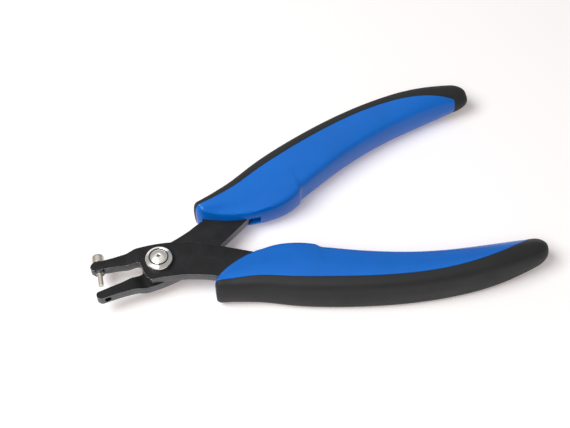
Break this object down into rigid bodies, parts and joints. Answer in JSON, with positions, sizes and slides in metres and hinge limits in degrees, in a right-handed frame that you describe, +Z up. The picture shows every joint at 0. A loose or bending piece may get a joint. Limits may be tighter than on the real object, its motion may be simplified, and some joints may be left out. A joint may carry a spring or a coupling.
{
  "type": "hole punch pliers",
  "caption": "Hand pliers with a replaceable round punch pin in the upper jaw over a die hole in the lower jaw, a riveted pivot and curved plastic handles with soft grip backs.",
  "frame": {"origin": "on the resting surface, below the middle of the whole tool as it lies open", "axes": "+X from the jaws to the handle tails, +Y towards the handle of the die lever, +Z up out of the face that shows the rivet's dome"},
  "size_m": [0.154, 0.0852, 0.0152],
  "materials": {
    "plate_steel": "black oxide, satin",
    "bright_steel": "turned and polished",
    "punch_steel": "turned, bright",
    "handle_plastic": "blue, satin moulded",
    "grip_rubber": "black, matte, fine texture"
  },
  "bodies": {
    "die_side": {"die_lever": "plate_steel", "upper_handle_core": "handle_plastic", "upper_handle_grip": "grip_rubber", "pivot_bush": "bright_steel", "pivot_rivet": "bright_steel", "pivot_washer": "bright_steel"},
    "punch_side": {"punch_lever": "plate_steel", "lower_handle_core": "handle_plastic", "lower_handle_grip": "grip_rubber", "punch_pin": "punch_steel", "punch_screw": "punch_steel"}
  },
  "joints": [
    {"name": "lever_pivot", "type": "hinge", "parent": "die_side", "child": "punch_side", "pos_m": [-0.05364, -0.00061, 0.0081], "axis": [0, 0, 1], "range_deg": [0, 15]}
  ]
}
